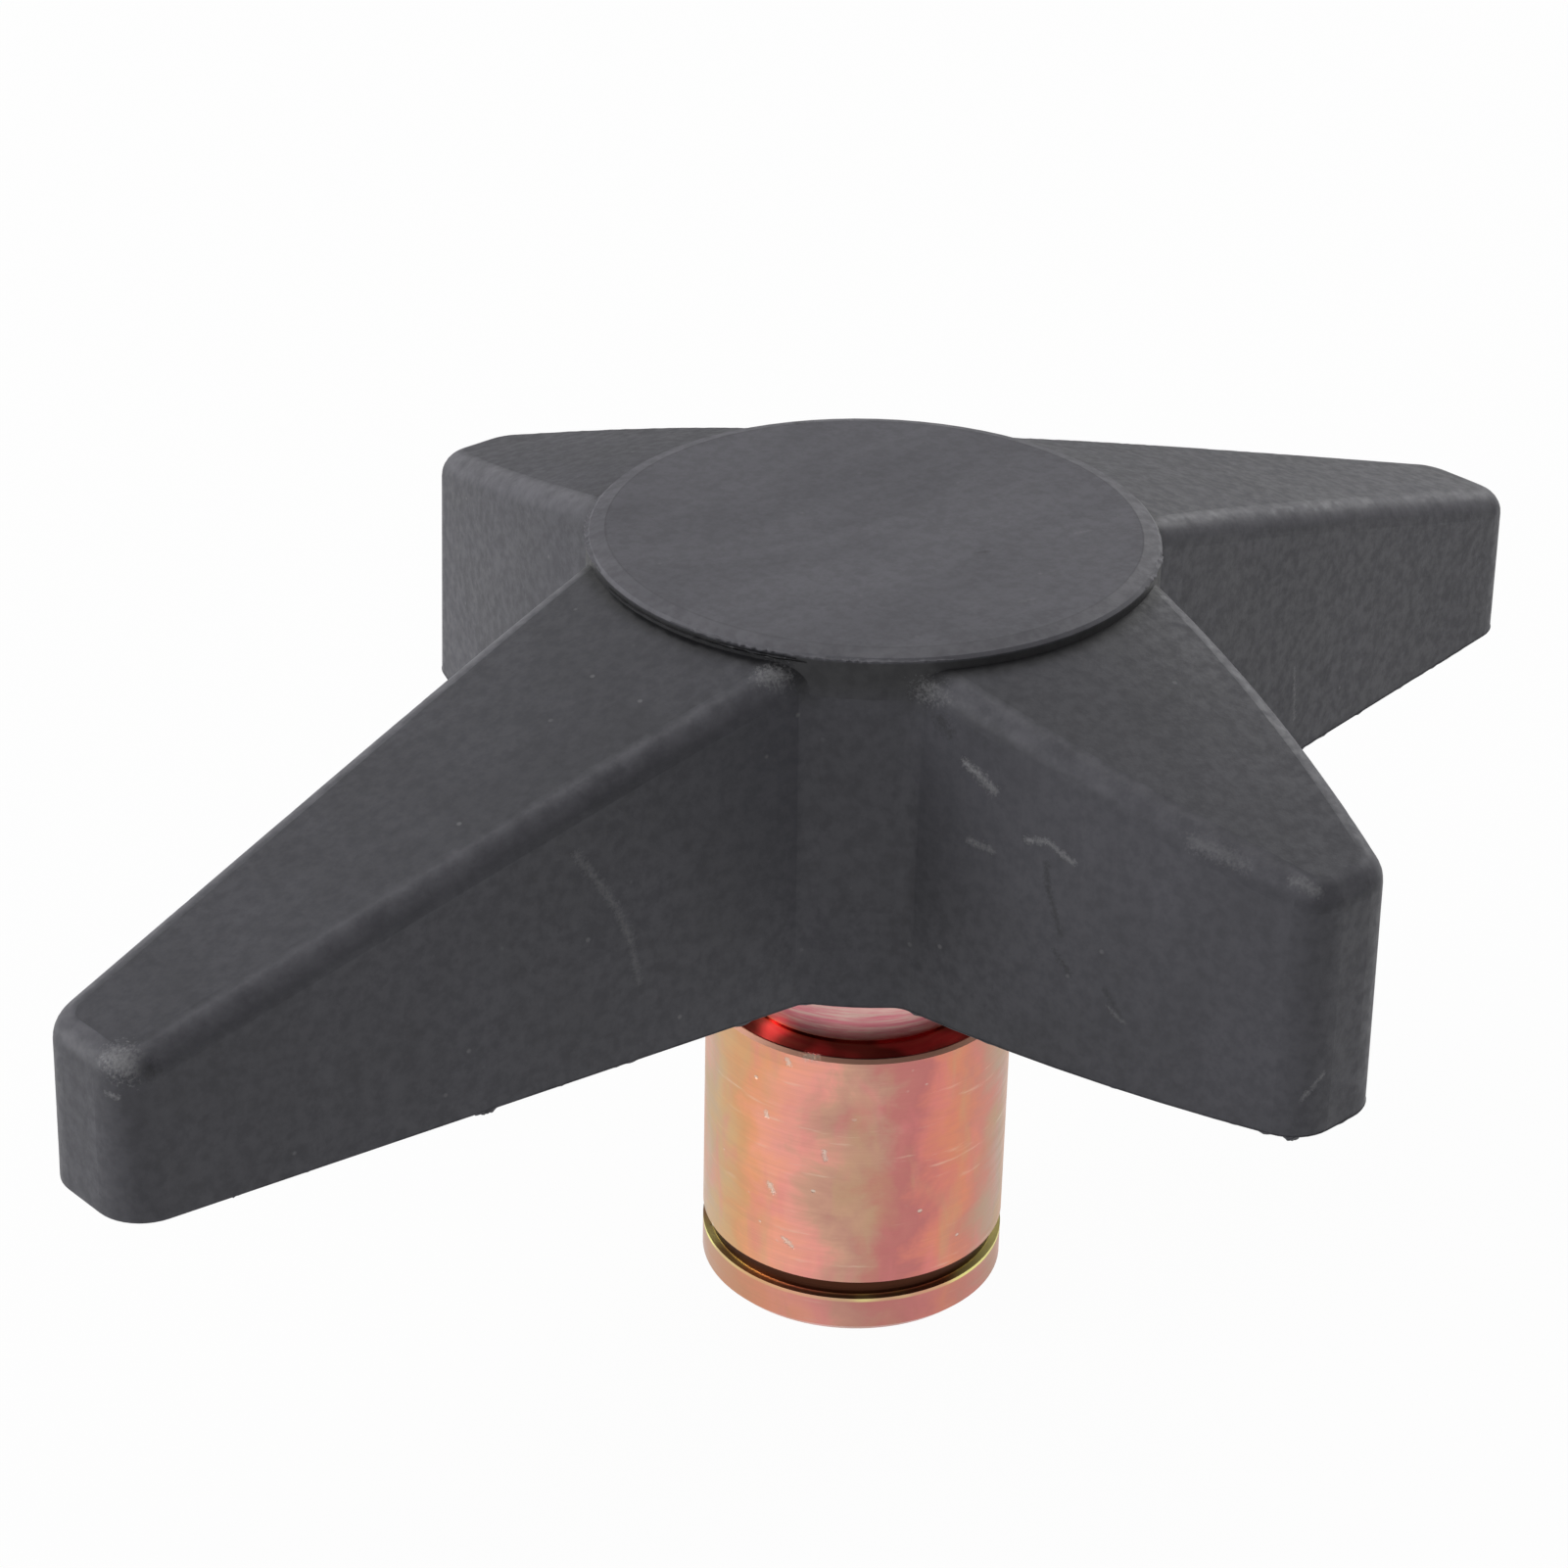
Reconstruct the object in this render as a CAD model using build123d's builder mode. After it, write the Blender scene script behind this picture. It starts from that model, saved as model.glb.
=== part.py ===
"""Star knob: a four-armed moulded grip with two long and two short arms, moulded round a turned
steel hub that ends in a bearing spigot with a retaining-ring groove. Millimetres, +Z up, the hub's
lower end stands on Z = 0 and the knob turns about the Z axis. The long arms lie along X."""
from build123d import *
from math import cos, radians, tan
import os

os.makedirs("parts", exist_ok=True)

# Hub: a spigot that turns in a 20 mm bore and is held by a ring in the groove
hub_d = 20.0            # bearing spigot
shoulder_z = 21.0       # top of the spigot
neck_d = 15.6           # turned neck between spigot and grip
groove_w = 1.3          # ring groove for a 20 mm shaft
groove_d = 19.0         # groove floor
land_h = 2.7            # land below the groove
end_chamfer = 0.5       # lower end
shoulder_chamfer = 0.3  # upper corner of the spigot
anchor_flats = 17.0     # hexagonal head moulded into the grip
anchor_z0 = 33.5        # underside of the hexagonal head
anchor_h = 11.0
anchor_chamfer = 0.8
thread_core_d = 10.2    # tapped bore, core size for a 12 mm coarse thread
thread_depth = 24.0
thread_mouth_d = 12.4   # countersink at the mouth
drill_angle = 118.0

# Grip
underside_z = 29.7      # flat underside, the mould's parting face
top_z = 53.4            # highest face
boss_r = 17.75          # round boss the arms run into
boss_rim_h = 0.25       # fall from the flat disc to the rim
boss_disc_r = 16.6      # flat disc inside the rim
boss_edge_c = 0.2       # chamfered rim of the boss
cone_angle = 16.7       # all four arm tops lie in one flat cone
cone_apex_z = 57.7     # where that cone would meet the axis
column_r = 17.9         # column between the arms, at the underside
flank_draft = 1.0       # draft of every flank, in degrees
root_r = 1.6            # inside corner between column and arm
edge_r = 1.8            # rounded top edges
tip_r = 3.0             # rounded upright edges at the arm tips

long_tip_x = 59.5       # end face of a long arm, at the underside
long_tip_half = 4.15    # half width there
long_root_half = 0.69 * column_r  # half width the flanks would have on the axis
short_tip_x = 40.4      # end face of a short arm, at the underside
short_tip_half = 3.15
short_root_x = 14.0     # inner end of the curved flank
short_root_half = 0.592 * column_r
short_mid_x = 26.5
short_mid_half = 8.0    # half width half-way, which gives the flank its slight belly


def cone_z(radius):
    """Height of the arm tops at a distance from the axis."""
    return cone_apex_z - radius * tan(radians(cone_angle))


# The hub: one turned piece. Its hexagonal head keeps it from turning or pulling out of the grip.
groove_z0 = land_h
groove_z1 = land_h + groove_w
hub_r, neck_r, groove_r, core_r = hub_d / 2, neck_d / 2, groove_d / 2, thread_core_d / 2
mouth_depth = (thread_mouth_d - thread_core_d) / 2
drill_point = core_r / tan(radians(drill_angle / 2))
anchor_corner_r = anchor_flats / 2 / cos(radians(30))

with BuildPart() as hub:
    with BuildSketch(Plane.XZ) as hub_profile:
        with BuildLine():
            Polyline(
                (0, 0),
                (hub_r - end_chamfer, 0),
                (hub_r, end_chamfer),
                (hub_r, groove_z0),
                (groove_r, groove_z0),
                (groove_r, groove_z1),
                (hub_r, groove_z1),
                (hub_r, shoulder_z - shoulder_chamfer),
                (hub_r - shoulder_chamfer, shoulder_z),
                (neck_r, shoulder_z),
                (neck_r, anchor_z0),
                (0, anchor_z0),
                close=True,
            )
        make_face()
    revolve(axis=Axis.Z)
    with BuildSketch(Plane.XY.offset(anchor_z0)) as head_plan:
        RegularPolygon(anchor_corner_r, 6)
    extrude(amount=anchor_h)
    chamfer(hub.faces().sort_by(Axis.Z)[-1].edges(), anchor_chamfer)
    with BuildSketch(Plane.XZ) as bore_profile:
        with BuildLine():
            Polyline(
                (0, 0),
                (core_r + mouth_depth, 0),
                (core_r, mouth_depth),
                (core_r, thread_depth),
                (0, thread_depth + drill_point),
                close=True,
            )
        make_face()
    revolve(axis=Axis.Z, mode=Mode.SUBTRACT)
hub.part.label = "hub"
export_step(hub.part, "parts/hub.step")


# The grip: one moulded piece. The plan outline is drawn at the parting face and rises with draft,
# the cone of the arm tops trims it, and the boss closes the middle.
blank_h = cone_z(0) - underside_z

with BuildPart() as star_body:
    with BuildSketch(Plane.XY.offset(underside_z)) as star_plan:
        Circle(column_r)
        for turn in (0, 180):
            with BuildLine(Plane.XY.rotated((0, 0, turn))):
                Polyline(
                    (0, long_root_half),
                    (long_tip_x, long_tip_half),
                    (long_tip_x, -long_tip_half),
                    (0, -long_root_half),
                    close=True,
                )
            make_face()
        for turn in (90, 270):
            with BuildLine(Plane.XY.rotated((0, 0, turn))):
                Line((0, short_root_half), (short_root_x, short_root_half))
                ThreePointArc(
                    (short_root_x, short_root_half),
                    (short_mid_x, short_mid_half),
                    (short_tip_x, short_tip_half),
                )
                Line((short_tip_x, short_tip_half), (short_tip_x, -short_tip_half))
                ThreePointArc(
                    (short_tip_x, -short_tip_half),
                    (short_mid_x, -short_mid_half),
                    (short_root_x, -short_root_half),
                )
                Line((short_root_x, -short_root_half), (0, -short_root_half))
                Line((0, -short_root_half), (0, short_root_half))
            make_face()
        corners = star_plan.vertices()
        fillet(corners.filter_by(lambda v: abs(Vector(v.X, v.Y).length - column_r) < 0.01), root_r)
        tips = star_plan.vertices().filter_by(
            lambda v: abs(abs(v.X) - long_tip_x) < 0.01 or abs(abs(v.Y) - short_tip_x) < 0.01
        )
        fillet(tips, tip_r)
    extrude(amount=blank_h)
    flanks = star_body.faces().filter_by(lambda f: abs(f.normal_at().Z) < 0.01)
    draft(flanks, Plane.XY.offset(underside_z), flank_draft)
    with BuildSketch(Plane.XZ) as top_profile:
        with BuildLine():
            Polyline(
                (0, underside_z - 1),
                (long_tip_x + 5, underside_z - 1),
                (long_tip_x + 5, cone_z(long_tip_x + 5)),
                (0, cone_apex_z),
                close=True,
            )
        make_face()
    revolve(axis=Axis.Z, mode=Mode.INTERSECT)
    cone_top = star_body.faces().filter_by(GeomType.CONE).sort_by(SortBy.AREA)[-1]
    fillet(cone_top.edges(), edge_r)
    boss_foot_z = cone_z(column_r) - edge_r
    with BuildSketch(Plane.XY.offset(boss_foot_z)):
        Circle(boss_disc_r)
    extrude(amount=cone_apex_z - boss_foot_z, mode=Mode.SUBTRACT)
    with BuildSketch(Plane.XZ) as boss_profile:
        with BuildLine():
            Polyline(
                (0, boss_foot_z),
                (boss_r, boss_foot_z),
                (boss_r, top_z - boss_rim_h - boss_edge_c),
                (boss_r - boss_edge_c, top_z - boss_rim_h),
                (boss_disc_r, top_z),
                (0, top_z),
                close=True,
            )
        make_face()
    revolve(axis=Axis.Z)
    # the grip fills the space round the hub's neck and head
    with BuildSketch(Plane.XY.offset(underside_z)):
        Circle(neck_r)
    extrude(amount=anchor_z0 - underside_z, mode=Mode.SUBTRACT)
    add(hub.part, mode=Mode.SUBTRACT)
star_body.part.label = "star_body"
export_step(star_body.part, "parts/star_body.step")
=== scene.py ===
"""Star knob: a moulded four-armed grip on a chromated steel hub. This script gives the two solids
their finishes, adds the moulding flash and lights the knob in a plain white studio.
Lengths in the piece functions and finishes are millimetres; mesh coordinates are metres."""

import bpy
import numpy as np
from mathutils import Matrix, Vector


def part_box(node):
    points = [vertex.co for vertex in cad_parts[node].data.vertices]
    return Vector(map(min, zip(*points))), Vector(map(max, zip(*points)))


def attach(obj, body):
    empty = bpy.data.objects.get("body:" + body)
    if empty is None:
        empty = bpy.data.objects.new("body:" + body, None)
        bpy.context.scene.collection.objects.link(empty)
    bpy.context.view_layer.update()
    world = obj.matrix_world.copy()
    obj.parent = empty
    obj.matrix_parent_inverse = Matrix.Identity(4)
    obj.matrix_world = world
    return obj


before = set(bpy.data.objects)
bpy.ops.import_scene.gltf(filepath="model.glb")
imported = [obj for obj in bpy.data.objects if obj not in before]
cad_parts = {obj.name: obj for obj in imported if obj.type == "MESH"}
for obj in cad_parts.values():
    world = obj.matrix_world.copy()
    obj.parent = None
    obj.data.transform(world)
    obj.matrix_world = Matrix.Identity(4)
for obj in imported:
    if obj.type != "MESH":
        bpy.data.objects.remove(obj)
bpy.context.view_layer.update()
MM = 0.001

grip_low, grip_high = (np.array(c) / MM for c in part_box("star_body"))
hub_high = np.array(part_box("hub")[1]) / MM

# heights and radii that the finishes follow, in millimetres
UNDERSIDE = grip_low[2]      # parting face of the grip
DISC = grip_high[2]          # flat disc on top of the boss
DISC_R = 16.6                # where the disc meets its chamfered rim
BOSS_R = 17.75
HUB_R = hub_high[0]
GROOVE = (2.7, 4.0)          # ring groove, from the hub's lower end
SHOULDER = 21.0              # turned shoulder under the grip
SHOULDER_CHAMFER = 0.3
BORE_MOUTH_R = 6.2           # countersunk mouth of the tapped bore
BORE_CORE_R = 5.1
THREAD_PITCH = 1.75
ARM_SLOPE = 0.3              # fall of the arm tops, per unit of reach
ARM_APEX = 57.7              # height at which the falling arm tops would meet the axis


# ---------------------------------------------------------------- shader building

class Graph:
    """Places nodes in one tree and links them; a value may be a number, a tuple or a socket."""

    def __init__(self, tree):
        self.tree = tree

    def node(self, kind, inputs=(), **settings):
        made = self.tree.nodes.new(kind)
        for name, value in settings.items():
            setattr(made, name, value)
        for key, value in dict(inputs).items():
            self.put(value, made.inputs[key])
        return made

    def put(self, value, socket):
        if isinstance(value, bpy.types.NodeSocket):
            self.tree.links.new(value, socket)
        else:
            socket.default_value = value

    def math(self, operation, a, b=0.0, c=0.0, clamp=False):
        made = self.node("ShaderNodeMath", {0: a, 1: b, 2: c}, operation=operation)
        made.use_clamp = clamp
        return made.outputs[0]

    def vector(self, operation, a, b=(0, 0, 0)):
        made = self.node("ShaderNodeVectorMath", {0: a, 1: b}, operation=operation)
        return made.outputs["Value" if operation in ("LENGTH", "DISTANCE", "DOT_PRODUCT") else "Vector"]

    def scaled(self, a, factor):
        return self.node("ShaderNodeVectorMath", {0: a, "Scale": factor}, operation="SCALE").outputs["Vector"]

    def ramp(self, value, low, high, to_low=0.0, to_high=1.0):
        """Smooth step of value from low to high."""
        made = self.node("ShaderNodeMapRange", {0: value, 1: low, 2: high, 3: to_low, 4: to_high},
                         interpolation_type="SMOOTHSTEP")
        return made.outputs[0]

    def band(self, value, low, high, soft):
        """1 between low and high, falling to 0 over soft on both sides."""
        up = self.ramp(value, low - soft, low + soft)
        down = self.ramp(value, high - soft, high + soft, 1.0, 0.0)
        return self.math("MULTIPLY", up, down)

    def mix(self, factor, a, b):
        return self.node("ShaderNodeMix", {0: factor, 6: a, 7: b}, data_type="RGBA").outputs[2]

    def mix_value(self, factor, a, b):
        return self.node("ShaderNodeMix", {0: factor, 2: a, 3: b}).outputs[0]

    def noise(self, vector, scale, detail=4.0, rough=0.55, distortion=0.0):
        made = self.node("ShaderNodeTexNoise", {"Vector": vector, "Scale": scale, "Detail": detail,
                                                "Roughness": rough, "Distortion": distortion})
        return made.outputs["Fac"]

    def stretched(self, vector, x, y, z, offset=(0, 0, 0)):
        made = self.node("ShaderNodeMapping", {"Vector": vector, "Location": offset, "Scale": (x, y, z)})
        return made.outputs[0]

    def group(self, group, **inputs):
        made = self.node("ShaderNodeGroup", node_tree=group)
        for key, value in inputs.items():
            self.put(value, made.inputs[key])
        return made.outputs

    def colours(self, value, stops):
        made = self.node("ShaderNodeValToRGB", {0: value})
        ramp = made.color_ramp
        while len(ramp.elements) < len(stops):
            ramp.elements.new(0.5)
        for element, (place, colour) in zip(ramp.elements, stops):
            element.position = place
            element.color = (*colour, 1)
        return made.outputs[0]


def new_group(name, inputs, outputs):
    """An empty node group with the named sockets; returns its graph and its two end nodes."""
    tree = bpy.data.node_groups.new(name, "ShaderNodeTree")
    for socket, kind in inputs:
        tree.interface.new_socket(socket, in_out="INPUT", socket_type="NodeSocket" + kind)
    for socket, kind in outputs:
        tree.interface.new_socket(socket, in_out="OUTPUT", socket_type="NodeSocket" + kind)
    graph = Graph(tree)
    return graph, graph.node("NodeGroupInput"), graph.node("NodeGroupOutput")


def scuff_group():
    """Mask of one scuff: a soft line from Start to End, Width wide, broken up by fine noise."""
    g, start, end = new_group("scuff", [("Position", "Vector"), ("Start", "Vector"), ("End", "Vector"),
                                        ("Width", "Float"), ("Ragged", "Float")], [("Mask", "Float")])
    place = start.outputs["Position"]
    run = g.vector("SUBTRACT", start.outputs["End"], start.outputs["Start"])
    away = g.vector("SUBTRACT", place, start.outputs["Start"])
    along = g.math("DIVIDE", g.vector("DOT_PRODUCT", away, run),
                   g.math("ADD", g.vector("DOT_PRODUCT", run, run), 1e-6), clamp=True)
    nearest = g.vector("SUBTRACT", away, g.scaled(run, along))
    wobble = g.math("SUBTRACT", g.noise(place, 4.5, 3.0, 0.75), 0.45)
    distance = g.math("ADD", g.vector("LENGTH", nearest),
                      g.math("MULTIPLY", wobble, g.math("MULTIPLY", start.outputs["Ragged"],
                                                        start.outputs["Width"])))
    g.put(g.math("SUBTRACT", 1.0, g.math("DIVIDE", distance, start.outputs["Width"]), clamp=True),
          end.inputs["Mask"])
    return g.tree


def cloud_group():
    """Mask of a thin uneven film, such as bloom or dust: broad clouds broken by fine specks."""
    g, start, end = new_group("film", [("Position", "Vector"), ("Size", "Float"), ("Amount", "Float")],
                              [("Mask", "Float")])
    scale = g.math("DIVIDE", 1.0, start.outputs["Size"])
    broad = g.noise(start.outputs["Position"], scale, 5.0, 0.62)
    fine = g.noise(start.outputs["Position"], 2.2, 2.0, 0.6)
    both = g.math("ADD", g.ramp(broad, 0.36, 0.68), g.math("MULTIPLY", g.math("SUBTRACT", fine, 0.5), 0.55))
    g.put(g.math("MULTIPLY", both, start.outputs["Amount"], clamp=True), end.inputs["Mask"])
    return g.tree


def worn_and_highlit_edge_group():
    """Mask of rounded edges, found from how far the surface is turned between side and top, with
    breaks; it lightens the edges for wear and as a painted highlight."""
    g, start, end = new_group("worn_and_highlit_edge", [("Position", "Vector"), ("Breaks", "Float")],
                              [("Edge", "Float")])
    turn = g.node("ShaderNodeSeparateXYZ", {0: g.node("ShaderNodeNewGeometry").outputs["Normal"]}).outputs[2]
    edge = g.math("MULTIPLY", g.ramp(turn, 0.16, 0.60), g.ramp(turn, 0.89, 0.957, 1.0, 0.0))
    gaps = g.ramp(g.noise(start.outputs["Position"], 0.55, 5.0, 0.7), 0.30, 0.72)
    kept = g.mix_value(start.outputs["Breaks"], 1.0, gaps)
    g.put(g.math("MULTIPLY", edge, kept), end.inputs["Edge"])
    return g.tree


SCUFF, FILM, WORN_AND_HIGHLIT_EDGE = scuff_group(), cloud_group(), worn_and_highlit_edge_group()


def new_material(name):
    material = bpy.data.materials.new(name)
    material.use_nodes = True
    tree = material.node_tree
    tree.nodes.clear()
    graph = Graph(tree)
    shader = graph.node("ShaderNodeBsdfPrincipled")
    graph.put(shader.outputs[0], graph.node("ShaderNodeOutputMaterial").inputs[0])
    where = graph.scaled(graph.node("ShaderNodeTexCoord").outputs["Object"], 1 / MM)
    return material, graph, shader, where


def cylinder_coordinates(g, where):
    """Distance from the axis, height and turn (0 to 1) of a place."""
    parts = g.node("ShaderNodeSeparateXYZ", {0: where})
    x, y, z = parts.outputs
    flat = g.node("ShaderNodeCombineXYZ", {0: x, 1: y, 2: 0.0}).outputs[0]
    turn = g.math("ADD", g.math("DIVIDE", g.math("ARCTAN2", y, x), 2 * np.pi), 0.5)
    return g.vector("LENGTH", flat), z, turn


# light scuffs and the painted shade of dents on the grip: start, end, width, strength (negative is painted
# dent shade)
GRIP_MARKS = (
    ((-9.6, -18.1, 47.6), (-9.4, -19.1, 47.2), 0.28, 0.75),
    ((-9.4, -19.1, 47.2), (-9.2, -20.1, 46.6), 0.34, 0.6),
    ((-9.5, -18.7, 42.7), (-9.2, -20.3, 42.6), 0.22, 0.45),
    ((-8.7, -22.6, 44.1), (-8.4, -23.9, 44.4), 0.22, 0.6),
    ((-8.4, -23.9, 44.4), (-8.0, -25.6, 43.6), 0.2, 0.5),
    ((-8.4, -23.9, 43.0), (-8.4, -24.1, 41.5), 0.24, -0.55),
    ((-8.4, -24.1, 41.5), (-8.2, -25.1, 38.7), 0.22, -0.6),
    ((-8.3, -24.8, 37.5), (-8.0, -25.9, 36.3), 0.2, -0.6),
    ((-7.4, -28.2, 35.9), (-7.1, -29.3, 34.5), 0.2, -0.5),
    ((-7.5, -28.4, 35.0), (-7.0, -29.4, 34.3), 0.16, 0.35),
    ((-9.9, -16.2, 49.8), (-9.8, -16.7, 49.2), 0.55, -0.6),
    ((-2.9, -39.8, 32.3), (-1.8, -40.2, 33.8), 0.14, 0.6),
    ((-30.4, -7.9, 44.6), (-29.0, -8.1, 42.5), 0.3, 0.26),
    ((-29.0, -8.1, 42.5), (-27.8, -8.3, 40.4), 0.26, 0.3),
    ((-27.8, -8.3, 40.4), (-26.8, -8.5, 37.8), 0.26, 0.28),
    ((-26.8, -8.5, 37.8), (-26.3, -8.6, 35.0), 0.24, 0.22),
    ((32.0, -7.8, 36.4), (32.4, -7.8, 32.4), 0.16, 0.35),
    ((-58.6, -2.6, 40.1), (-58.3, -3.2, 39.7), 0.8, 0.85),
    ((-59.1, -2.5, 37.9), (-58.9, -3.2, 37.8), 0.16, 0.6),
    ((-57.4, -4.1, 39.5), (-57.3, -4.1, 39.3), 0.5, -0.7),
    ((-16.7, -8.8, 52.0), (-16.2, -9.1, 51.9), 0.7, 0.8),
    ((-3.2, -38.0, 46.1), (-2.5, -39.2, 45.6), 0.35, 0.6),
    ((-9.6, -14.6, 51.2), (-9.2, -15.8, 50.9), 0.7, 0.5),
    ((-5.6, -32.6, 47.1), (-4.6, -35.4, 46.6), 0.5, 0.4),
    ((7.4, 15.2, 53.3), (7.8, 15.6, 53.2), 0.4, -0.8),
    ((2.2, -6.6, 53.4), (2.9, -7.0, 53.4), 0.18, -0.6),
    ((-0.6, -13.2, 53.4), (0.4, -13.5, 53.4), 0.16, 0.3),
    ((9.0, -8.6, 53.4), (9.9, -8.8, 53.4), 0.16, 0.35),
)


def grip_plastic():
    """Black moulded plastic gone dull: a whitish bloom, fine mottling, a painted sheen on the disc,
    rounded edges lighter from wear and a painted highlight, painted shade in the crease round the boss
    and in a fine line round the disc, light scuffs, and painted shade in dents."""
    material, g, shader, where = new_material("moulded grip plastic")
    reach, height, _ = cylinder_coordinates(g, where)
    # rounded edges: wear together with a painted highlight
    edge = g.group(WORN_AND_HIGHLIT_EDGE, Position=where, Breaks=0.6)[0]

    # cloudy base tone, with streaks that run up and down the sides, and a painted sheen on the disc
    tone = g.noise(where, 0.045, 3.0, 0.5)
    colour = g.mix(g.ramp(tone, 0.3, 0.7), (0.0445, 0.0445, 0.0545, 1), (0.062, 0.0615, 0.0745, 1))
    streak = g.noise(g.stretched(where, 0.55, 0.55, 0.035), 1.0, 4.0, 0.6)
    colour = g.mix(g.math("MULTIPLY", g.ramp(streak, 0.42, 0.75), 0.13), colour, (0.122, 0.121, 0.141, 1))
    bloom = g.group(FILM, Position=where, Size=9.0, Amount=0.30)[0]
    colour = g.mix(bloom, colour, (0.122, 0.121, 0.142, 1))
    # painted sheen: the disc top is made lighter than the rest of the grip, in swirling streaks
    on_disc = g.math("MULTIPLY", g.ramp(height, DISC - 0.5, DISC - 0.32), g.ramp(reach, 17.9, 18.1, 1.0, 0.0))
    disc_sheen_swirl = g.noise(g.stretched(where, 0.05, 0.20, 0.1, (3, 1, 0)), 1.0, 4.0, 0.55, 1.2)
    colour = g.mix(g.math("MULTIPLY", on_disc, g.ramp(disc_sheen_swirl, 0.30, 0.72, 0.52, 0.84)), colour,
                   (0.160, 0.157, 0.179, 1))
    mottle = g.noise(where, 1.3, 3.0, 0.65)
    colour = g.mix(g.ramp(mottle, 0.35, 0.68, 0.0, 0.24), colour, (0.034, 0.033, 0.038, 1))

    # edges lighter from wear and a painted highlight, and a fine line of painted shade round the disc
    colour = g.mix(g.math("MULTIPLY", edge, 0.72), colour, (0.180, 0.178, 0.200, 1))
    # painted shade: a fine dark line where the disc meets its chamfered rim, standing in for the shade of
    # that step
    ring = g.math("MULTIPLY", g.band(reach, DISC_R - 0.08, DISC_R + 0.02, 0.07),
                  g.ramp(height, DISC - 0.5, DISC - 0.3))
    colour = g.mix(g.math("MULTIPLY", ring, 0.30), colour, (0.03, 0.03, 0.033, 1))

    # painted shade in the crease where the arm tops run into the boss, on the boss wall and the arm tops next
    # to it
    crease_shade = g.math("MULTIPLY", g.ramp(reach, BOSS_R + 0.15, BOSS_R + 1.3, 1.0, 0.0),
                    g.ramp(height, DISC - 0.62, DISC - 0.42, 1.0, 0.0))
    crease_shade = g.math("MULTIPLY", crease_shade, g.ramp(height, 49.0, 51.8))
    crease_shade = g.math("MULTIPLY", crease_shade, g.ramp(reach, BOSS_R - 0.25, BOSS_R - 0.1))
    colour = g.mix(g.math("MULTIPLY", crease_shade, 0.82), colour, (0.010, 0.010, 0.011, 1))

    light, dent_shade = 0.0, 0.0
    for start, end, width, strength in GRIP_MARKS:
        mask = g.group(SCUFF, Position=where, Start=start, End=end, Width=width * 1.6, Ragged=3.0)[0]
        mask = g.math("MULTIPLY", mask, 0.95 * abs(strength))
        if strength > 0:
            light = g.math("MAXIMUM", light, mask)
        else:
            dent_shade = g.math("MAXIMUM", dent_shade, mask)
    colour = g.mix(light, colour, (0.30, 0.30, 0.31, 1))
    # painted shade: dark marks standing in for the shading of dents
    colour = g.mix(dent_shade, colour, (0.016, 0.016, 0.018, 1))

    # sparse pale specks of dust
    specks = g.node("ShaderNodeTexVoronoi", {"Vector": where, "Scale": 0.42}, feature="F1")
    speck = g.math("MULTIPLY", g.ramp(specks.outputs["Distance"], 0.03, 0.09, 1.0, 0.0),
                   g.ramp(g.noise(where, 0.21, 1.0), 0.5, 0.62))
    colour = g.mix(g.math("MULTIPLY", speck, 0.45), colour, (0.24, 0.24, 0.25, 1))
    g.put(colour, shader.inputs["Base Color"])

    rough = g.ramp(mottle, 0.3, 0.7, 0.46, 0.60)
    rough = g.math("ADD", rough, g.math("MULTIPLY", bloom, 0.18))
    rough = g.math("SUBTRACT", rough, g.math("MULTIPLY", light, 0.12), clamp=True)
    g.put(rough, shader.inputs["Roughness"])

    # moulded skin: fine grain and slow waves
    grain = g.math("MULTIPLY", g.noise(where, 3.2, 3.0, 0.6), 0.013)
    waves = g.math("MULTIPLY", g.noise(where, 0.16, 2.0, 0.5), 0.10)
    skin = g.math("ADD", grain, waves)
    bump = g.node("ShaderNodeBump", {"Strength": 1.0, "Distance": MM, "Height": skin})
    g.put(bump.outputs[0], shader.inputs["Normal"])
    shader.inputs["IOR"].default_value = 1.5
    return material


# tints of the chromate round the hub, from turn 0 (facing -X) anticlockwise
HUB_TINTS = (
    (0.000, (0.70, 0.36, 0.17)), (0.025, (0.82, 0.36, 0.19)), (0.053, (0.88, 0.38, 0.26)),
    (0.081, (0.84, 0.36, 0.29)), (0.106, (0.62, 0.35, 0.25)), (0.131, (0.54, 0.29, 0.22)),
    (0.155, (0.54, 0.20, 0.18)), (0.181, (0.52, 0.18, 0.17)), (0.208, (0.68, 0.23, 0.18)),
    (0.236, (0.72, 0.27, 0.16)), (0.272, (0.62, 0.24, 0.18)), (0.320, (0.48, 0.32, 0.22)),
    (0.400, (0.72, 0.36, 0.20)), (0.480, (0.76, 0.28, 0.24)), (0.560, (0.60, 0.38, 0.20)),
    (0.640, (0.74, 0.28, 0.20)), (0.720, (0.54, 0.26, 0.22)), (0.790, (0.70, 0.40, 0.20)),
    (0.860, (0.80, 0.34, 0.26)), (0.920, (0.56, 0.40, 0.24)), (0.955, (0.64, 0.42, 0.21)),
    (1.000, (0.70, 0.36, 0.17)),
)

# larger chips through the plating: start, end, width
HUB_CHIPS = (
    ((-8.9, -4.6, 20.9), (-8.6, -5.1, 20.9), 0.45),
    ((-9.4, -3.4, 20.2), (-9.4, -3.5, 20.0), 0.3),
    ((-8.2, -5.7, 14.0), (-8.1, -5.8, 13.4), 0.22),
    ((-9.7, -2.3, 10.4), (-9.6, -2.6, 9.9), 0.3),
    ((-9.4, -3.4, 6.6), (-9.2, -4.0, 6.2), 0.24),
    ((-9.8, -1.9, 15.8), (-9.8, -2.0, 15.5), 0.24),
)


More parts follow.
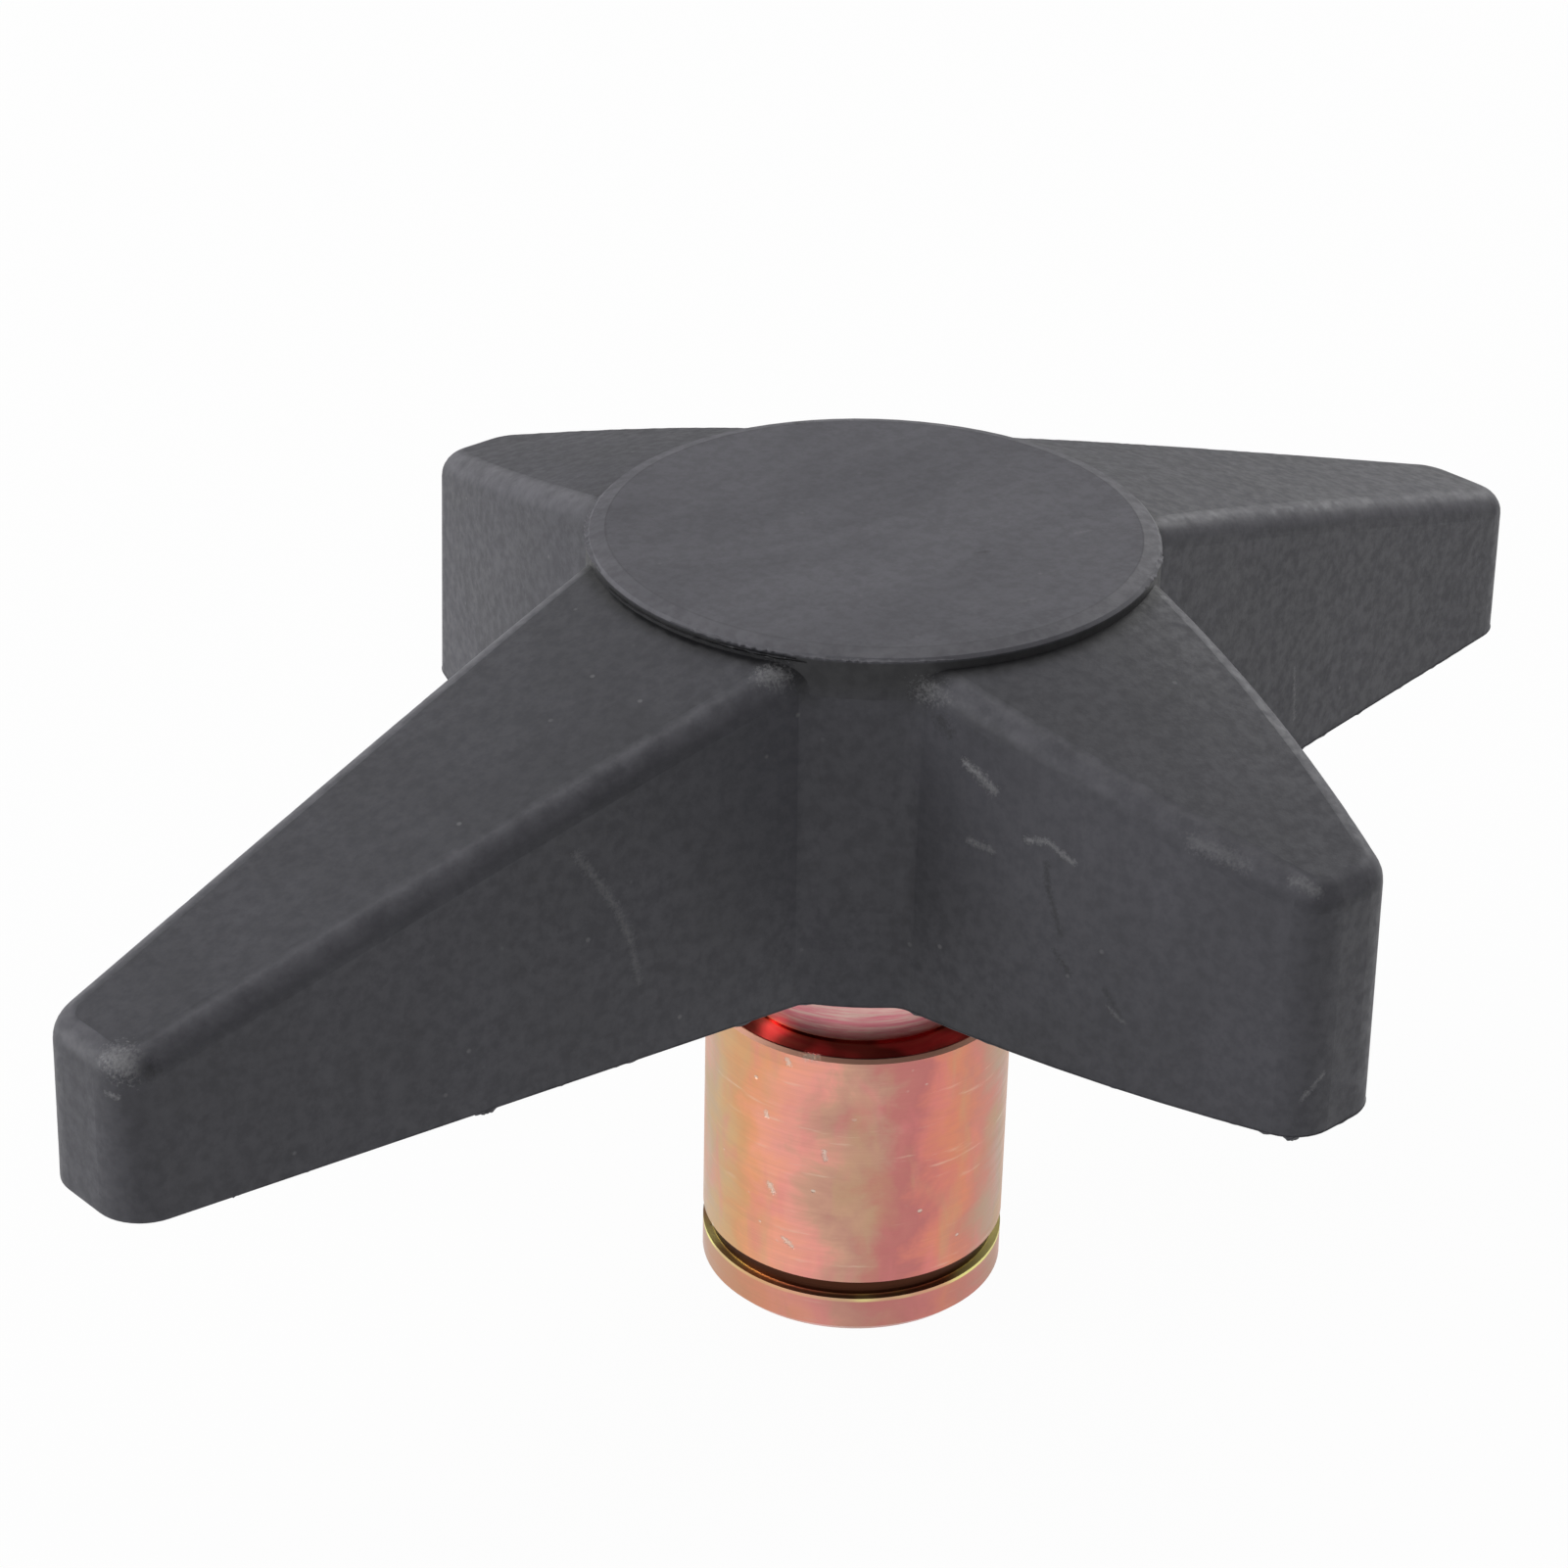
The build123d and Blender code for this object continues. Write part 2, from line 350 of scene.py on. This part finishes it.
def hub_steel():
    """Turned steel with a yellow chromate over zinc: clouded pink, orange and straw tints, turning
    lines round the axis, painted shade in the groove, a red mirror on the shoulder with painted red
    highlights, small chips."""
    material, g, shader, where = new_material("chromated hub steel")
    reach, height, turn = cylinder_coordinates(g, where)

    # tints by turn, shifted to and fro by slow clouds
    drift = g.noise(g.stretched(where, 0.17, 0.17, 0.24), 1.0, 4.0, 0.62, 0.4)
    warp = g.math("MULTIPLY", g.math("SUBTRACT", drift, 0.5), 0.17)
    place = g.math("FRACT", g.math("ADD", turn, warp))
    colour = g.colours(place, HUB_TINTS)
    clouds = g.noise(g.stretched(where, 0.30, 0.30, 0.14, (7, 3, 0)), 1.0, 3.0, 0.55, 0.6)
    colour = g.mix(g.ramp(clouds, 0.45, 0.72, 0.0, 0.42), colour, (0.62, 0.44, 0.24, 1))
    blush = g.noise(g.stretched(where, 0.42, 0.42, 0.16, (1, 9, 4)), 1.0, 3.0, 0.5, 0.5)
    colour = g.mix(g.ramp(blush, 0.50, 0.75, 0.0, 0.40), colour, (0.78, 0.24, 0.26, 1))

    # turning lines: bands along the height, a little uneven round the axis
    rings = g.noise(g.stretched(where, 0.05, 0.05, 3.4), 1.0, 4.0, 0.72)
    colour = g.mix(g.ramp(rings, 0.34, 0.70, 0.16, 0.0), colour, (0.30, 0.13, 0.09, 1))
    pale = g.noise(g.stretched(where, 0.16, 0.16, 1.6, (5, 0, 2)), 1.0, 4.0, 0.65)
    colour = g.mix(g.ramp(pale, 0.60, 0.74, 0.0, 0.35), colour, (0.80, 0.66, 0.50, 1))

    # shoulder, neck, groove and the worn land below it
    on_shoulder = g.band(height, SHOULDER - 0.06, SHOULDER + 0.12, 0.04)
    # painted highlights: bright red spots on the dark shoulder stand in for reflections of the lamps
    shoulder_glints = g.ramp(g.noise(g.stretched(where, 0.24, 0.24, 0.0, (2, 5, 0)), 1.0, 1.0), 0.44, 0.60)
    colour = g.mix(on_shoulder, colour, g.mix(shoulder_glints, (0.30, 0.055, 0.035, 1), (0.86, 0.10, 0.09, 1)))
    on_rim = g.band(height, SHOULDER - SHOULDER_CHAMFER, SHOULDER - 0.06, 0.02)
    colour = g.mix(on_rim, colour, (0.90, 0.52, 0.38, 1))
    on_neck = g.ramp(height, SHOULDER + 0.1, SHOULDER + 0.3)
    neck_rings = g.noise(g.stretched(where, 0.14, 0.14, 2.6), 1.0, 5.0, 0.7)
    neck_tint = g.mix(g.ramp(neck_rings, 0.38, 0.62), (0.66, 0.22, 0.26, 1), (0.70, 0.48, 0.42, 1))
    colour = g.mix(on_neck, colour, neck_tint)
    # painted shade inside the ring groove
    groove_shade = g.math("MULTIPLY", g.band(height, GROOVE[0] + 0.05, GROOVE[1], 0.03),
                       g.ramp(reach, HUB_R - 0.12, HUB_R - 0.04, 1.0, 0.0))
    colour = g.mix(groove_shade, colour, (0.062, 0.022, 0.012, 1))
    land = g.ramp(height, GROOVE[0] - 0.06, GROOVE[0], 1.0, 0.0)
    colour = g.mix(g.math("MULTIPLY", land, 0.45), colour, (0.42, 0.17, 0.15, 1))
    gleam = g.band(height, GROOVE[0] - 0.24, GROOVE[0] + 0.03, 0.05)
    gleam = g.math("MULTIPLY", gleam, g.ramp(g.noise(where, 0.15, 2.0), 0.40, 0.60, 0.20, 1.0))
    colour = g.mix(gleam, colour, (0.95, 0.90, 0.36, 1))
    in_bore = g.ramp(reach, BORE_MOUTH_R + 0.2, BORE_MOUTH_R + 0.7, 1.0, 0.0)
    colour = g.mix(g.math("MULTIPLY", in_bore, 0.6), colour, (0.42, 0.26, 0.16, 1))

    # chips through the plating: small ones scattered, larger ones at their places
    cells = g.node("ShaderNodeTexVoronoi", {"Vector": g.stretched(where, 0.55, 0.55, 0.75), "Scale": 1.0})
    chip = g.math("MULTIPLY", g.ramp(cells.outputs["Distance"], 0.07, 0.12, 1.0, 0.0),
                  g.ramp(g.noise(where, 0.33, 1.0), 0.52, 0.60))
    for start, end, width in HUB_CHIPS:
        spot = g.group(SCUFF, Position=where, Start=start, End=end, Width=width, Ragged=2.6)[0]
        chip = g.math("MAXIMUM", chip, g.math("MULTIPLY", spot, 1.6, clamp=True))
    colour = g.mix(g.math("MULTIPLY", chip, 0.55), colour, (0.74, 0.68, 0.58, 1))
    g.put(colour, shader.inputs["Base Color"])

    rough = g.ramp(rings, 0.3, 0.7, 0.30, 0.42)
    rough = g.math("ADD", rough, g.math("MULTIPLY", g.ramp(clouds, 0.4, 0.7), 0.08))
    rough = g.mix_value(on_shoulder, rough, 0.16)
    rough = g.mix_value(g.math("MAXIMUM", on_rim, gleam), rough, 0.62)
    g.put(rough, shader.inputs["Roughness"])
    shader.inputs["Metallic"].default_value = 1.0

    # turned lines, chips and, in the bore, a coarse right-hand thread
    lines = g.math("MULTIPLY", g.noise(g.stretched(where, 0.02, 0.02, 6.0), 1.0, 3.0, 0.7), 0.010)
    pitch = g.math("FRACT", g.math("SUBTRACT", g.math("DIVIDE", height, THREAD_PITCH), turn))
    thread = g.math("MULTIPLY", g.math("PINGPONG", pitch, 0.5),
                    g.ramp(reach, BORE_CORE_R + 0.2, BORE_CORE_R + 0.5, 1.6, 0.0))
    thread = g.math("MULTIPLY", thread, g.ramp(height, 0.9, 1.6))
    skin = g.math("SUBTRACT", g.math("ADD", lines, thread), g.math("MULTIPLY", chip, 0.03))
    bump = g.node("ShaderNodeBump", {"Strength": 1.0, "Distance": MM, "Height": skin})
    g.put(bump.outputs[0], shader.inputs["Normal"])
    return material


grip_finish, hub_finish = grip_plastic(), hub_steel()
for name, finish in (("star_body", grip_finish), ("hub", hub_finish)):
    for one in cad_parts[name].material_slots:
        one.material = finish


# ---------------------------------------------------------------- moulding flash

def add_piece(name, points, faces, material):
    """A mesh object at the origin from millimetre points, riding on the knob's one body."""
    mesh = bpy.data.meshes.new(name)
    mesh.from_pydata((points * MM).tolist(), [], [list(map(int, f)) for f in faces])
    mesh.materials.append(material)
    mesh.update()
    piece = bpy.data.objects.new(name, mesh)
    bpy.context.collection.objects.link(piece)
    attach(piece, "root")
    return piece


def ragged(count, knots, low, high, seed, power=1.0):
    """count values along a strip: random heights at evenly spaced knots, joined by straight runs."""
    heights = np.random.default_rng(seed).random(knots) ** power
    return low + (high - low) * np.interp(np.linspace(0, knots - 1, count), np.arange(knots), heights)


def strip_faces(stations, around):
    """Quads of a closed tube of stations rings with around points each, and its two end faces."""
    i, j = np.meshgrid(np.arange(stations - 1), np.arange(around), indexing="ij")
    k = (j + 1) % around
    quads = np.stack([i * around + j, (i + 1) * around + j, (i + 1) * around + k, i * around + k], -1)
    last = (stations - 1) * around
    return list(quads.reshape(-1, 4)) + [np.arange(around)[::-1], last + np.arange(around)]


def flash_strip(name, path, outward, upward, reach, thick, sink=0.12, lean=0.0):
    """A thin ragged fin along a path. At each station its section is a flat triangle-like blade: two
    feet thick apart, sunk into the body, and a crest reach away along outward, leaning upward."""
    taper = np.sin(np.pi * np.linspace(0.004, 0.996, len(path))) ** 0.25
    reach, thick = (reach * taper)[:, None], (thick * taper)[:, None]
    foot = path - outward * sink
    crest = path + outward * reach + upward * reach * lean
    section = [foot - upward * thick / 2, crest - upward * thick * 0.22,
               crest + upward * thick * 0.22, foot + upward * thick / 2]
    points = np.stack(section, 1)
    side = np.cross(section[1][:-1] - section[0][:-1], path[1:] - path[:-1])
    faces = strip_faces(len(path), 4)
    if (side * (section[0] - section[3])[:-1]).sum() < 0:
        faces = [f[::-1] for f in faces]
    return add_piece(name, points.reshape(-1, 3), faces, grip_finish)


def circle_path(radius, height, start, stop, count):
    """Points, outward and upward directions along an arc about the axis; angles in degrees."""
    angle = np.radians(np.linspace(start, stop, count))
    out = np.stack([np.cos(angle), np.sin(angle), np.zeros(count)], 1)
    return out * radius + np.array([0, 0, 1.0]) * height, out, np.tile([0.0, 0.0, 1.0], (count, 1))


def rim_flash():
    """Ragged skin left along the boss rim, heaviest on the side of the -X arm."""
    for name, start, stop, low, high, seed in (("rim_flash_left", 118, 158, 0.05, 0.26, 3),
                                               ("rim_flash_front", -176, -118, 0.03, 0.24, 5),
                                               ("rim_flash_right", -66, -48, 0.05, 0.22, 7)):
        count = int((stop - start) * 4)
        path, out, up = circle_path(BOSS_R - 0.06, DISC - 0.42, start, stop, count)
        flash_strip(name, path, out, up, ragged(count, count // 3, low, high, seed, 1.6),
                    ragged(count, count // 4, 0.16, 0.34, seed + 20), lean=0.1)


def crease_flash():
    """A thin curl of flash standing in the crease over the -X arm, following the arm top."""
    for name, start, stop, lift, seed in (("crease_flash_long", 163, 214, 0.30, 11),
                                          ("crease_flash_end", 196, 212, 0.44, 13)):
        count = int((stop - start) * 3)
        height = ARM_APEX - ARM_SLOPE * (BOSS_R + 0.2) + lift
        path, out, up = circle_path(BOSS_R - 0.02, height, start, stop, count)
        flash_strip(name, path, out, up, ragged(count, count // 4, 0.10, 0.34, seed),
                    ragged(count, count // 4, 0.08, 0.16, seed + 20), lean=0.25)


def parting_line():
    """The grip's outline on its underside, as points ordered by their angle about the axis."""
    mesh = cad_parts["star_body"].data
    points = np.empty(len(mesh.vertices) * 3)
    mesh.vertices.foreach_get("co", points)
    points = points.reshape(-1, 3) / MM
    mesh.calc_loop_triangles()
    faces = np.empty(len(mesh.loop_triangles) * 3, dtype=int)
    mesh.loop_triangles.foreach_get("vertices", faces)
    low = points[faces.reshape(-1, 3)]
    wall = np.ptp(low[..., 2], axis=1) > 0.5
    foot = low[wall].reshape(-1, 3)
    foot = foot[(foot[:, 2] < UNDERSIDE + 0.02) & (np.hypot(foot[:, 0], foot[:, 1]) > 12)]
    foot = np.unique(foot.round(3), axis=0)
    order = np.argsort(np.arctan2(foot[:, 1], foot[:, 0]))
    loop = foot[order]
    return np.vstack([loop, loop[:1]])


def edge_flash():
    """Thin feathered flash along the parting line: it hangs a little below the underside's edge."""
    loop = parting_line()
    run = np.concatenate([[0], np.cumsum(np.linalg.norm(np.diff(loop, axis=0), axis=1))])
    count = 1500
    place = np.linspace(0, run[-1], count)
    path = np.stack([np.interp(place, run, loop[:, i]) for i in range(3)], 1)
    along = np.gradient(path, axis=0)
    along /= np.linalg.norm(along, axis=1)[:, None]
    out = np.stack([along[:, 1], -along[:, 0], np.zeros(count)], 1)
    down = np.tile([0.0, 0.0, -1.0], (count, 1))
    path[:, 2] += 0.05
    reach = ragged(count, 300, 0.01, 0.07, 17, 1.4) + ragged(count, 700, 0.0, 0.20, 19, 12.0)
    thick = np.full(count, 0.16)
    flash_strip("parting_flash", path - out * 0.04, down, out, reach, thick, sink=0.02, lean=0.15)


def flash_blob(name, centre, size, seed):
    """A torn lump: a ball whose radius is pushed in and out by a few low waves, squashed by size."""
    rows, cols = 14, 20
    u, v = np.meshgrid(np.linspace(0, np.pi, rows)[1:-1], np.linspace(0, 2 * np.pi, cols, endpoint=False),
                       indexing="ij")
    rng = np.random.default_rng(seed)
    swell = 1 + sum(0.16 * np.sin(n * u + rng.random() * 6) * np.cos(n * v + rng.random() * 6)
                    for n in range(2, 6))
    ball = np.stack([np.sin(u) * np.cos(v), np.sin(u) * np.sin(v), np.cos(u)], -1) * swell[..., None]
    points = np.vstack([ball.reshape(-1, 3), [[0, 0, 1]], [[0, 0, -1]]]) * size + centre
    i, j = np.meshgrid(np.arange(rows - 3), np.arange(cols), indexing="ij")
    k = (j + 1) % cols
    quads = np.stack([i * cols + j, (i + 1) * cols + j, (i + 1) * cols + k, i * cols + k], -1).reshape(-1, 4)
    ring, top = np.arange(cols), (rows - 2) * cols
    faces = list(quads) + [(top, a, (a + 1) % cols) for a in ring]
    base = (rows - 3) * cols
    faces += [(top + 1, base + (a + 1) % cols, base + a) for a in ring]
    piece = add_piece(name, points, faces, grip_finish)
    piece.data.polygons.foreach_set("use_smooth", np.ones(len(piece.data.polygons), bool))


# torn lumps on the parting edge: centre, half sizes, seed
FLASH_LUMPS = {
    "flash_lump_long_arm": ((-36.4, -7.0, 29.62), (0.75, 0.28, 0.26), 2),
    "flash_lump_tip": ((-52.6, -4.7, 29.66), (0.55, 0.22, 0.18), 4),
    "flash_lump_short_arm": ((-3.0, -39.3, 29.62), (0.42, 0.40, 0.26), 6),
}

rim_flash()
crease_flash()
edge_flash()
for name, (centre, size, seed) in FLASH_LUMPS.items():
    flash_blob(name, np.array(centre), np.array(size), seed)


# ---------------------------------------------------------------- studio

RIGHT = np.array([0.7404, -0.6722, 0.0])   # across the view, level
BACK = np.array([0.6722, 0.7404, 0.0])     # away from the viewer, level
UP = np.array([0.0, 0.0, 1.0])
KNOB_MIDDLE = np.array([0, 0, 0.035])      # where every lamp points


def white_floor():
    """A wide pale floor that looks white, keeps a soft shadow and lights the knob from below."""
    side = 3.0
    corners = [(-side, -side, 0), (side, -side, 0), (side, side, 0), (-side, side, 0)]
    mesh = bpy.data.meshes.new("floor")
    mesh.from_pydata(corners, [], [(0, 1, 2, 3)])
    floor = bpy.data.objects.new("floor", mesh)
    bpy.context.collection.objects.link(floor)
    material = bpy.data.materials.new("white studio floor")
    material.use_nodes = True
    material.node_tree.nodes.clear()
    g = Graph(material.node_tree)
    rays = g.node("ShaderNodeLightPath").outputs
    seen = g.math("MAXIMUM", rays["Is Camera Ray"],
                  g.math("MAXIMUM", rays["Is Glossy Ray"], rays["Is Transmission Ray"]))
    white = g.node("ShaderNodeEmission", {"Color": (1, 1, 1, 1), "Strength": 1.0}).outputs[0]
    paint = g.node("ShaderNodeBsdfDiffuse", {"Color": (0.82, 0.82, 0.82, 1)}).outputs[0]
    both = g.node("ShaderNodeMixShader", {0: g.math("MULTIPLY", seen, 0.97), 1: paint, 2: white}).outputs[0]
    g.put(both, g.node("ShaderNodeOutputMaterial").inputs[0])
    mesh.materials.append(material)


def stand(place, across, above, away):
    """The matrix that puts a lamp or camera at place with its three axes along those directions."""
    turn = Matrix([list(row) for row in np.column_stack([across, above, away])]).to_4x4()
    return Matrix.Translation(list(place)) @ turn


def soft_light(name, right, back, up, width, depth, power):
    """A softbox of that width and depth at that offset from the knob, facing it."""
    place = KNOB_MIDDLE + RIGHT * right + BACK * back + UP * up
    data = bpy.data.lights.new(name, "AREA")
    data.shape, data.size, data.size_y, data.energy = "RECTANGLE", width, depth, power
    lamp = bpy.data.objects.new(name, data)
    bpy.context.collection.objects.link(lamp)
    away = (place - KNOB_MIDDLE) / np.linalg.norm(place - KNOB_MIDDLE)
    across = np.cross(UP, away)
    across /= np.linalg.norm(across)
    lamp.matrix_world = stand(place, across, np.cross(away, across), away)


def world_light(strength):
    """Even white surroundings: strength 1 where they are seen, strength for the light they give."""
    world = bpy.data.worlds.new("studio")
    bpy.context.scene.world = world
    world.use_nodes = True
    world.node_tree.nodes.clear()
    g = Graph(world.node_tree)
    seen = g.node("ShaderNodeLightPath").outputs["Is Camera Ray"]
    shown = g.mix_value(seen, strength, 1.0)
    sky = g.node("ShaderNodeBackground", {"Color": (1, 1, 1, 1), "Strength": shown}).outputs[0]
    g.put(sky, g.node("ShaderNodeOutputWorld").inputs[0])


# name, offsets to the right, back and up, width, depth and power
LAMPS = (
    ("overhead softbox", -0.05, 0.30, 0.85, 0.7, 0.7, 2.2),
    ("back left softbox", -0.55, 0.80, 0.40, 0.6, 0.45, 1.1),
    ("back right softbox", 0.55, 0.80, 0.40, 0.6, 0.45, 2.8),
    ("left softbox", -0.95, -0.15, 0.30, 0.5, 0.5, 4.8),
    ("right softbox", 0.95, -0.10, 0.30, 0.5, 0.5, 0.1),
    ("front softbox", -0.10, -0.95, 0.60, 0.5, 0.5, 0.1),
)
SURROUNDINGS = 0.18

white_floor()
for lamp in LAMPS:
    soft_light(*lamp)
world_light(SURROUNDINGS)

# ---------------------------------------------------------------- camera

camera_data = bpy.data.cameras.new("camera")
camera_data.sensor_width = 36.0
camera_data.lens = 95.265
camera_data.clip_start = 0.01
camera = bpy.data.objects.new("camera", camera_data)
bpy.context.collection.objects.link(camera)
across = np.array([0.740283, -0.672005, 0.019763])
above = np.array([0.305010, 0.361906, 0.880904])
camera.matrix_world = stand((-0.162013, -0.167068, 0.160204), across, above, np.cross(across, above))
bpy.context.scene.camera = camera
bpy.context.scene.view_settings.view_transform = "Standard"
